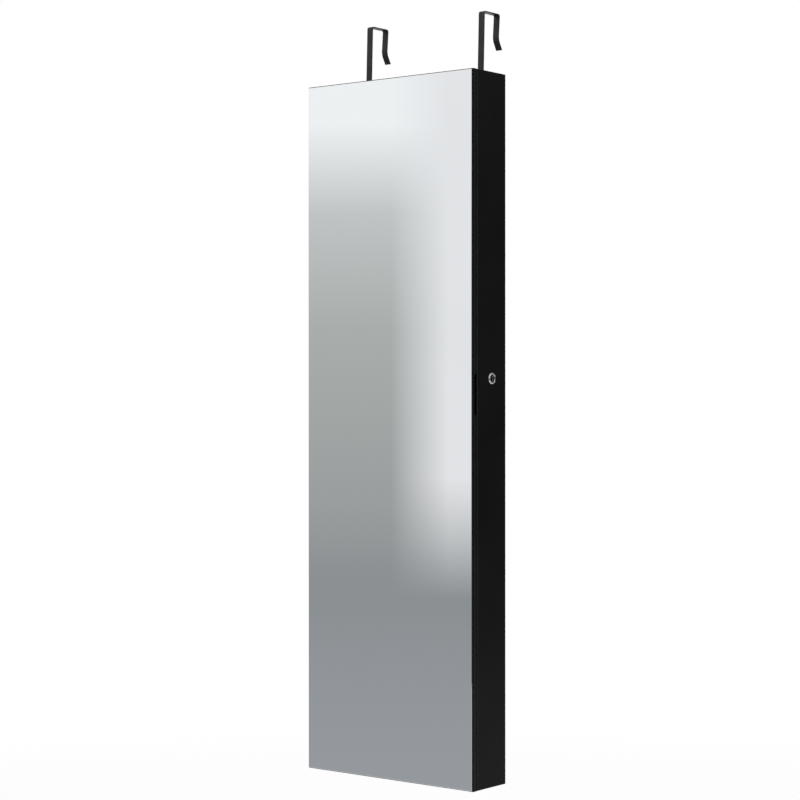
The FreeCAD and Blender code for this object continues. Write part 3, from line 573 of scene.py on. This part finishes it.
screwStyles = {
    # millimetres: radii of head and shaft, and heights from the seat that the head lies on
    "flat": {"head": 2.55, "shaft": 1.38, "neck": -1.15, "rim": -0.1, "top": 0.0, "dome": 0.28,
             "recess": 1.45, "seatBack": 0.0},
    "pan": {"head": 3.7, "shaft": 1.85, "neck": 0.0, "rim": 0.0, "top": 1.2, "dome": 0.75,
            "recess": 2.0, "seatBack": 2.0},
}
screwTip = {"point": 2.0, "taper": 4.5, "pointShare": 0.35}
headDome = {"from": 15.0, "to": 90.0, "steps": 5, "segments": 20}
cross = {
    # width and depth as shares of its reach, its low end as shares of its top, the turn from screw to screw
    "width": 0.42, "depth": 0.75, "lowReach": 0.35, "lowWidth": 0.6, "above": 0.1, "turnEach": 37,
}
screwWays = {
    # node: style and the way from a screw's tip to its head
    "back_panel_screws": ("flat", (0, 1, 0)), "earring_panel_screws": ("flat", (0, -1, 0)),
    "catch_screws": ("flat", (-1, 0, 0)), "hinge_screws_body": ("flat", (0, -1, 0)),
    "hinge_screws_door": ("flat", (0, 1, 0)), "strike_screws": ("flat", (0, 1, 0)),
    "catch_plate_screws": ("flat", (0, 1, 0)), "door_hook_screws": ("pan", (0, 1, 0)),
}


def crossRecess(reach, top):
    # a tapered cross that goes down from the head's top
    arms = []
    for turn in (0, 90):
        arm = boxMesh((2 * reach, reach * cross["width"], 2 * reach * cross["depth"]))
        low = [vert for vert in arm.verts if vert.co.z < 0]
        bmesh.ops.scale(arm, vec=(cross["lowReach"], cross["lowWidth"], 1.0), verts=low)
        bmesh.ops.rotate(arm, cent=(0, 0, 0), matrix=Matrix.Rotation(math.radians(turn), 3, "Z"),
                         verts=arm.verts)
        bmesh.ops.translate(arm, vec=(0, 0, top), verts=arm.verts)
        arms.append(arm)
    return joinedMesh(arms)


def screwShape(size, length):
    # a screw on Z with its shaft down and its head's seat at 0
    outline = [(0, -length), (size["shaft"] * screwTip["pointShare"], -length + screwTip["point"]),
               (size["shaft"], -length + screwTip["taper"]), (size["shaft"], size["neck"]),
               (size["head"], size["rim"])]
    for step in range(headDome["steps"] + 1):
        rise = (headDome["to"] - headDome["from"]) * step / headDome["steps"]
        turn = math.radians(headDome["from"] + rise)
        outline.append((size["head"] * math.cos(turn), size["top"] + size["dome"] * math.sin(turn)))
    mesh = turned([(radius * mm, height * mm) for radius, height in outline], headDome["segments"])
    top = size["top"] + size["dome"] + cross["above"]
    return carved(mesh, crossRecess(size["recess"] * mm, top * mm))


def buildScrews(node):
    style, way = screwWays[node]
    size = screwStyles[style]
    way = Vector(way)
    boxes = solidBoxes(node)
    span = abs((boxes[0][1] - boxes[0][0]).dot(way))
    seatBack = size["seatBack"] * mm
    shape = screwShape(size, (span - seatBack) / mm)
    screws = []
    for number, (low, high) in enumerate(boxes):
        seat = (low + high) / 2 + way * (span / 2 - seatBack)
        screws.append(aimed(shape.copy(), way, "Y", seat, math.radians(cross["turnEach"] * number % 90)))
    shape.free()
    replaceNode(node, "_turned", joinedMesh(screws), sharpAngle=30.0)


for node in screwWays:
    buildScrews(node)
print("screws made:", len(screwWays))


# hooks over the room door, bent from flat strip

def buildDoorHook(node):
    # millimetres: the strip goes up, leans back, runs over the door's top, drops and flares
    shape = {"thickness": 2.0, "straight": 62.0, "lean": 3.6, "reach": 44.0, "drop": 43.0, "pinch": 3.3,
             "flare": 10.0, "flareDrop": 17.0, "leanBend": 20.0, "topBend": 3.6, "tipBend": 5.8,
             "bendSegments": 6, "edge": 0.45}
    low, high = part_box(node)
    half = shape["thickness"] / 2
    foot = low.z / mm
    top = high.z / mm - half
    far = half + shape["lean"] + shape["reach"]
    line = [(half, foot), (half, foot + shape["straight"]), (half + shape["lean"], top), (far, top),
            (far - shape["pinch"], top - shape["drop"]),
            (far - shape["pinch"] + shape["flare"], top - shape["drop"] - shape["flareDrop"])]
    bends = {1: shape["leanBend"], 2: shape["topBend"], 3: shape["topBend"], 4: shape["tipBend"]}
    mesh = bmesh.new()
    verts = [mesh.verts.new((low.x, y * mm, z * mm)) for y, z in line]
    for pair in zip(verts, verts[1:]):
        mesh.edges.new(pair)
    for number, setback in bends.items():
        bevel(mesh, [verts[number]], setback * mm, shape["bendSegments"], "VERTICES", clamp=False)
    pulled = bmesh.ops.extrude_edge_only(mesh, edges=mesh.edges)["geom"]
    bmesh.ops.translate(mesh, vec=(high.x - low.x, 0, 0),
                        verts=[part for part in pulled if isinstance(part, bmesh.types.BMVert)])
    bmesh.ops.recalc_face_normals(mesh, faces=mesh.faces)
    strip = looseObject(mesh)
    wall = strip.modifiers.new("wall", "SOLIDIFY")
    wall.thickness = shape["thickness"] * mm
    wall.offset = 0
    wall.use_even_offset = True
    mesh = bakedMesh(strip)
    bmesh.ops.recalc_face_normals(mesh, faces=mesh.faces)
    bevel(mesh, sharpEdges(mesh, angle=60), shape["edge"] * mm, segments=2)
    replaceNode(node, "_bent", mesh)


for side in ("left", "right"):
    buildDoorHook(f"door_hook_{side}")
print("door hooks bent")


# lock in the right side

lock = {
    # millimetres: radii, and heights from the side panel's face
    "segments": 72, "boreGap": 0.05, "boreChamfer": 0.45,
    "faceRing": 8.0, "grooveSteps": (0.9, 0.7, 0.3), "grooveDepth": 0.25,
    "domeDrop": 0.05, "domeSteps": 8, "rim": 0.35,
    "barrel": 9.0, "flats": 8.2, "flatsFrom": -0.05, "flatsBeyondBore": 0.5,
    "threadFrom": 0.8, "threadShort": 0.6, "threadPitch": 1.0, "threadDepth": 0.35, "endChamfer": 0.5,
}
shutter = {"size": (0.6, 1.7, 7.2), "edge": 0.2, "behindFace": 2.4}


def barrelOutline(bore, bezel, front, back):
    ring = lock["faceRing"]
    outer, inner, lip = lock["grooveSteps"]
    grooveFloor = front - lock["grooveDepth"]
    outline = [(bore, -back), (bore, front - lock["boreChamfer"]), (bore + lock["boreChamfer"], front),
               (ring - outer, front), (ring - inner, grooveFloor), (ring - lip, grooveFloor)]
    domeTop = front - lock["domeDrop"]
    for step in range(lock["domeSteps"] + 1):
        turn = math.pi / 2 * step / lock["domeSteps"]
        outline.append((ring + (bezel - ring) * math.sin(turn),
                        domeTop - (domeTop - lock["rim"]) * (1 - math.cos(turn))))
    outline += [(bezel, 0.0), (lock["barrel"], 0.0)]
    depth = lock["threadFrom"]
    while depth < back - lock["threadShort"]:
        root = lock["barrel"] - lock["threadDepth"]
        outline += [(lock["barrel"], -depth), (root, -depth - lock["threadPitch"] / 2)]
        depth += lock["threadPitch"]
    chamfer = lock["endChamfer"]
    outline += [(lock["barrel"], chamfer - back), (lock["barrel"] - chamfer, -back)]
    return [(radius * mm, height * mm) for radius, height in outline]


def buildBarrel(side, axisY, axisZ, bore):
    low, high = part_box("lock_barrel")
    bezel = (high.z - low.z) / 2 / mm
    outline = barrelOutline(bore, bezel, (high.x - side) / mm, (side - low.x) / mm)
    mesh = turned(outline, lock["segments"], closed=True)
    flats = lock["flats"] * mm
    for vert in mesh.verts:
        outside = vert.co.to_2d().length > (bore + lock["flatsBeyondBore"]) * mm
        if outside and vert.co.z < lock["flatsFrom"] * mm:
            vert.co.x = max(-flats, min(flats, vert.co.x))
    mesh = aimed(mesh, (1, 0, 0), "X", (side, axisY, axisZ))
    replaceNode("lock_barrel", "_turned", mesh, sharpAngle=28.0)


def buildShutter(faceX, axisY, axisZ):
    mesh = boxMesh([length * mm for length in shutter["size"]])
    bevel(mesh, list(mesh.edges), shutter["edge"] * mm, segments=2, clamp=False)
    bmesh.ops.translate(mesh, vec=(faceX - shutter["behindFace"] * mm, axisY, axisZ), verts=mesh.verts)
    makePiece("key_shutter", mesh, "lock", finishes["zinc_steel"])


def buildLock():
    low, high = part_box("lock_barrel")
    axisY, axisZ = (low.y + high.y) / 2, (low.z + high.z) / 2
    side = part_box("side_panel_right")[1].x
    plugLow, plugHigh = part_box("lock_plug")
    buildBarrel(side, axisY, axisZ, (plugHigh.z - plugLow.z) / 2 / mm + lock["boreGap"])
    roundNode("lock_plug", width=0.35, shortest=1.0, segments=3)
    buildShutter(plugHigh.x, axisY, axisZ)
    roundNode("lock_nut", width=0.4, shortest=2.0)
    roundNode("cam_screw", width=0.2, shortest=0.8)


buildLock()
print("lock made")


# rubber buffers that the door closes on

def buildBuffers():
    shape = {"tipShare": 0.35, "wallShare": 0.25, "steps": 6, "segments": 32}
    parts = []
    for low, high in solidBoxes("rubber_buffers"):
        radius = (high.z - low.z) / 2
        height = high.y - low.y
        outline = [(0, 0), (radius, 0)]
        for step in range(shape["steps"] + 1):
            turn = math.pi / 2 * step / shape["steps"]
            across = shape["tipShare"] + (1 - shape["tipShare"]) * math.cos(turn)
            up = shape["wallShare"] + (1 - shape["wallShare"]) * math.sin(turn)
            outline.append((radius * across, height * up))
        outline.append((0, height))
        foot = ((low.x + high.x) / 2, high.y, (low.z + high.z) / 2)
        parts.append(aimed(turned(outline, shape["segments"]), (0, -1, 0), "Y", foot))
    replaceNode("rubber_buffers", "_domed", joinedMesh(parts), sharpAngle=50.0)


# hinge pins with domed ends

def buildPin(node):
    shape = {"steps": 5, "domeShare": 0.5, "segments": 32}
    low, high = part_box(node)
    radius = (high.x - low.x) / 2
    half = (high.z - low.z) / 2
    quarter = []
    for step in range(shape["steps"] + 1):
        turn = math.pi / 2 * step / shape["steps"]
        quarter.append((radius * math.sin(turn), half - radius * shape["domeShare"] * (1 - math.cos(turn))))
    outline = [(across, -up) for across, up in quarter] + quarter[::-1]
    mesh = turned(outline, shape["segments"])
    bmesh.ops.translate(mesh, vec=(low + high) / 2, verts=mesh.verts)
    replaceNode(node, "_domed", mesh)


buildBuffers()
for number in (1, 2, 3):
    buildPin(f"hinge_{number}_pin")
    for half in ("body", "door"):
        roundNode(f"hinge_{number}_{half}_leaf", width=0.18, shortest=1.2)
print("buffers and hinges made")


# ring rolls: foam under velvet, blown up by the cloth solver and drawn in at the ends

soft = {
    "segments": 36, "endRound": 4.5 * mm, "endSegments": 4, "slack": 1.1 * mm, "voxel": 3.4 * mm,
    "pressure": 4.0, "quality": 5, "frames": 20, "cap": 1.0 * mm, "smoothing": 0.5, "fill": 0.8,
    "pleats": 16, "pleatDepth": 0.35 * mm, "pleatReach": 7.0 * mm, "lumpScale": 55, "lumpDepth": 0.25 * mm,
}


def rollBlank(low, high):
    # a cylinder along X, a little smaller than the roll, flat where it lies on the tray
    size = high - low
    radius = size.z / 2 - soft["slack"]
    mesh = bmesh.new()
    bmesh.ops.create_cone(mesh, cap_ends=True, segments=soft["segments"], radius1=radius, radius2=radius,
                          depth=size.x - 2 * soft["slack"])
    bevel(mesh, sharpEdges(mesh, angle=60), soft["endRound"], soft["endSegments"])
    bmesh.ops.rotate(mesh, cent=(0, 0, 0), matrix=Matrix.Rotation(math.radians(90), 3, "Y"), verts=mesh.verts)
    centre = ((low.x + high.x) / 2, low.y + soft["slack"] + radius, (low.z + high.z) / 2)
    bmesh.ops.translate(mesh, vec=centre, verts=mesh.verts)
    for vert in mesh.verts:
        vert.co.y = min(vert.co.y, high.y - soft["slack"] / 2)
    return mesh


def remeshed(mesh):
    roll = looseObject(mesh)
    remesh = roll.modifiers.new("remesh", "REMESH")
    remesh.mode = "VOXEL"
    remesh.voxel_size = soft["voxel"]
    return roll


def blowUp(rolls):
    for roll in rolls:
        cloth = roll.modifiers.new("cloth", "CLOTH")
        cloth.settings.use_pressure = True
        cloth.settings.uniform_pressure_force = soft["pressure"]
        cloth.settings.effector_weights.gravity = 0
        cloth.settings.quality = soft["quality"]
    for step in range(1, soft["frames"] + 1):
        bpy.context.scene.frame_set(step)


def capMoves(mesh, starts):
    mesh.verts.ensure_lookup_table()
    for vert, start in zip(mesh.verts, starts):
        move = vert.co - start
        if move.length > soft["cap"]:
            vert.co = start + move.normalized() * soft["cap"]


def drawInEnds(mesh, low, high, number):
    # pleats run in to both ends, and the velvet is a little uneven
    middle = (low + high) / 2
    for vert in mesh.verts:
        fromEnd = min(vert.co.x - low.x, high.x - vert.co.x)
        fade = max(0.0, 1 - fromEnd / soft["pleatReach"])
        inward = Vector((0, vert.co.y - middle.y, vert.co.z - middle.z))
        around = math.atan2(inward.z, inward.y)
        ripple = math.sin(soft["pleats"] * around + number) * soft["pleatDepth"] * fade
        vert.co -= inward.normalized() * (ripple + soft["pleatDepth"] * fade)
        vert.co += noise.noise_vector(vert.co * soft["lumpScale"]) * soft["lumpDepth"]


def buildRolls():
    boxes = solidBoxes("ring_rolls")
    blanks = [remeshed(rollBlank(low, high)) for low, high in boxes]
    rolls = [looseObject(bakedMesh(blank)) for blank in blanks]
    starts = [[vert.co.copy() for vert in roll.data.vertices] for roll in rolls]
    blowUp(rolls)
    for number, (roll, start, (low, high)) in enumerate(zip(rolls, starts, boxes), 1):
        mesh = bakedMesh(roll)
        capMoves(mesh, start)
        bmesh.ops.subdivide_edges(mesh, edges=mesh.edges, cuts=1, use_grid_fill=True)
        bmesh.ops.smooth_vert(mesh, verts=mesh.verts, factor=soft["smoothing"],
                              use_axis_x=True, use_axis_y=True, use_axis_z=True)
        drawInEnds(mesh, low, high, number)
        roll = makePiece(f"ring_roll_{number}", mesh, "cabinet", finishes["velvet"], ["ring_rolls"],
                         sharpAngle=80.0)
    bpy.context.scene.frame_set(1)


buildRolls()
print("ring rolls made")


# mirror, silvered on its face and ground at its edges

def buildMirror():
    shape = {"bevel": 0.6 * mm, "bevelSegments": 3, "facing": -0.3}
    low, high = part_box("mirror_glass")
    mesh = boxMesh(high - low, (low + high) / 2)
    middle = (low.y + high.y) / 2
    front = [edge for edge in mesh.edges if all(vert.co.y < middle for vert in edge.verts)]
    bevel(mesh, front, shape["bevel"], shape["bevelSegments"])
    for face in mesh.faces:
        face.material_index = 0 if face.normal.y < shape["facing"] else 1
    makePiece("mirror_sheet", mesh, "door", finishes["mirror"], ["mirror_glass"], sharpAngle=25.0,
              extraMaterials=[glassEdge()])


buildMirror()
print("mirror made")


# studio: floor, sweep and card that show in reflections, world, lamps and camera

studio = {
    "floorZ": -1.845, "floorSize": 40.0, "floorGrey": (0.86, 0.86, 0.86),
    "floorFade": (2.6, 5.0, 0.72, 1.0),     # from here to there in metres, from this share of white to that
    "ambient": 0.62,
    "lampsAim": (0, 0, -0.55),
}
sweep = {
    "near": 0.6, "far": 9.7, "bend": 0.9, "bendSteps": 8, "top": 4.6, "aboveFloor": 0.003,
    "start": -5.0, "turn": -195.0, "steps": 72,
    # colours of the ground and, by share of the wall's height, of the wall
    "closeGround": (0.97, 0.98, 0.99), "nearGround": (0.36, 0.375, 0.40), "farGround": (0.285, 0.30, 0.315),
    "closeFade": (1.1, 3.0), "wallFade": (0.004, 0.4), "wallHeight": 3.2,
    "wall": [(0.0, (0.27, 0.285, 0.30)), (0.2, (0.36, 0.37, 0.37)), (0.55, (0.44, 0.455, 0.445)),
             (0.78, (0.58, 0.60, 0.60)), (0.96, (0.94, 0.955, 0.965))],
    # the field painted paler as a pool of side light, by metres across the sweep and above the floor
    "lit": (0.84, 0.845, 0.86), "litAcross": (0.784, -0.621), "litRise": (0.02, 0.4), "litFall": (1.6, 4.6),
    "litFoot": (0.08, 0.8), "litCloud": (0.9, 1.0), "litCloudRange": (0.86, 0.28),
}
card = {
    "radius": 2.4, "low": -1.3, "high": 0.8, "start": -20.0, "turn": 116.0, "steps": 24,
    "black": (0.006, 0.006, 0.006), "paleEnd": (0.24, 0.235, 0.225), "paleFrom": (1.95, 2.3),
}
lamps = {
    # name: place, size and power
    "keySoftbox": ((-1.6, -3.0, 2.3), (1.8, 1.8), 95),
    "sideSoftbox": ((3.4, 0.6, 0.6), (0.9, 2.4), 42),
    "rearSoftbox": ((-1.6, 3.0, 1.4), (1.8, 1.8), 55),
}
view = {
    # place in metres, turns in degrees, lens and sensor in millimetres
    "place": (2.2021, -2.8391, -0.4913), "pitch": 90 - 0.228, "roll": 0.012, "turn": 38.397,
    "lens": 92.61, "sensor": 36.0, "clip": (0.05, 80.0),
}


def makeStage(name, mesh, material, seen=True):
    data = bpy.data.meshes.new(name)
    mesh.to_mesh(data)
    mesh.free()
    data.materials.append(material)
    data.shade_smooth()
    piece = bpy.data.objects.new(name, data)
    bpy.context.scene.collection.objects.link(piece)
    if not seen:    # then only reflections show it
        piece.visible_camera = False
        piece.visible_diffuse = False
        piece.visible_shadow = False


def spunStage(name, outline, start, turn, steps, material):
    # a line of (radius, height) swept round the object
    mesh = bmesh.new()
    begin = Matrix.Rotation(math.radians(start), 3, "Z")
    verts = [mesh.verts.new(begin @ Vector((radius, 0, height))) for radius, height in outline]
    edges = [mesh.edges.new(pair) for pair in zip(verts, verts[1:])]
    bmesh.ops.spin(mesh, geom=verts + edges, cent=(0, 0, 0), axis=(0, 0, 1), angle=math.radians(turn),
                   steps=steps)
    makeStage(name, mesh, material, seen=False)


def floorFinish():
    finish = Finish("paleFloor")
    distance = finish.node("ShaderNodeVectorMath", {"operation": "LENGTH"}, {0: finish.place},
                           output="Value")
    far = finish.spread(distance, *studio["floorFade"])
    paper = finish.node("ShaderNodeBsdfDiffuse", None, {"Color": finish.asColour(studio["floorGrey"])})
    white = finish.glow((1, 1, 1))
    finish.show(finish.node("ShaderNodeMixShader", None, {0: finish.whiteRays() * far, 1: paper, 2: white}))
    return finish.material


def sweepFinish():
    # grey paper, paler towards the top, close to the object and in a painted pool of side light
    floorZ = studio["floorZ"]
    finish = Finish("studioSweep")
    x, y, height = (finish.along(axis) for axis in "XYZ")
    radius = (x * x + y * y) ** 0.5
    wall = finish.ramp(finish.spread(height, floorZ, floorZ + sweep["wallHeight"]), sweep["wall"])
    ground = finish.mix(finish.spread(radius, sweep["near"], sweep["far"]), sweep["nearGround"],
                        sweep["farGround"])
    ground = finish.mix(finish.spread(radius, *sweep["closeFade"]), sweep["closeGround"], ground)
    onWall = finish.spread(height, *(floorZ + rise for rise in sweep["wallFade"]))
    across = x * sweep["litAcross"][0] + y * sweep["litAcross"][1]
    cloudLow, cloudRange = sweep["litCloudRange"]
    # painted light: a paler field where a side light would fall on the sweep
    lit = finish.spread(across, *sweep["litRise"]) * finish.spread(across, *sweep["litFall"], 1.0, 0.0)
    lit = lit * finish.spread(height, *(floorZ + rise for rise in sweep["litFoot"]))
    lit = lit * (cloudLow + finish.noise(*sweep["litCloud"]) * cloudRange).least(1.0)
    finish.show(finish.glow(finish.mix(lit, finish.mix(onWall, ground, wall), sweep["lit"])))
    return finish.material


def cardFinish():
    finish = Finish("blackCard")
    pale = finish.spread(finish.along("Y"), *card["paleFrom"])
    finish.show(finish.glow(finish.mix(pale, card["black"], card["paleEnd"])))
    return finish.material


def buildBackdrops():
    mesh = bmesh.new()
    bmesh.ops.create_grid(mesh, x_segments=1, y_segments=1, size=studio["floorSize"],
                          matrix=Matrix.Translation((0, 0, studio["floorZ"])))
    makeStage("floor", mesh, floorFinish())

    # the sweep goes out over the floor and up in a bend
    foot = studio["floorZ"] + sweep["aboveFloor"]
    bend = sweep["bend"]
    outline = [(sweep["near"], foot)]
    for step in range(sweep["bendSteps"] + 1):
        turn = math.pi / 2 * step / sweep["bendSteps"]
        outline.append((sweep["far"] - bend + bend * math.sin(turn), foot + bend - bend * math.cos(turn)))
    outline.append((sweep["far"], sweep["top"]))
    spunStage("sweep", outline, sweep["start"], sweep["turn"], sweep["steps"], sweepFinish())

    # a black card beside the cabinet gives the chrome its dark parts
    outline = [(card["radius"], card["low"]), (card["radius"], card["high"])]
    spunStage("blackCard", outline, card["start"], card["turn"], card["steps"], cardFinish())


def buildWorld():
    world = bpy.data.worlds.new("studioWorld")
    bpy.context.scene.world = world
    world.use_nodes = True
    sheet = Sheet(world.node_tree, "ShaderNodeOutputWorld")
    ambient, white = (sheet.node("ShaderNodeBackground", None, {"Color": (1, 1, 1, 1), "Strength": strength})
                      for strength in (studio["ambient"], 1.0))
    sheet.show(sheet.node("ShaderNodeMixShader", None, {0: sheet.whiteRays(), 1: ambient, 2: white}))


def buildLamp(name, place, size, power):
    data = bpy.data.lights.new(name, "AREA")
    data.shape = "RECTANGLE"
    data.size, data.size_y = size
    data.energy = power
    lamp = bpy.data.objects.new(name, data)
    bpy.context.scene.collection.objects.link(lamp)
    lamp.location = place
    lamp.rotation_euler = (Vector(studio["lampsAim"]) - Vector(place)).to_track_quat("-Z", "Y").to_euler()
    lamp.visible_glossy = False


def buildCamera():
    data = bpy.data.cameras.new("camera")
    data.lens = view["lens"]
    data.sensor_width = view["sensor"]
    data.clip_start, data.clip_end = view["clip"]
    camera = bpy.data.objects.new("camera", data)
    bpy.context.scene.collection.objects.link(camera)
    camera.location = view["place"]
    camera.rotation_euler = [math.radians(view[name]) for name in ("pitch", "roll", "turn")]
    bpy.context.scene.camera = camera


buildBackdrops()
buildWorld()
for name, (place, size, power) in lamps.items():
    buildLamp(name, place, size, power)
buildCamera()
bpy.context.scene.view_settings.view_transform = "Standard"
print("studio made")
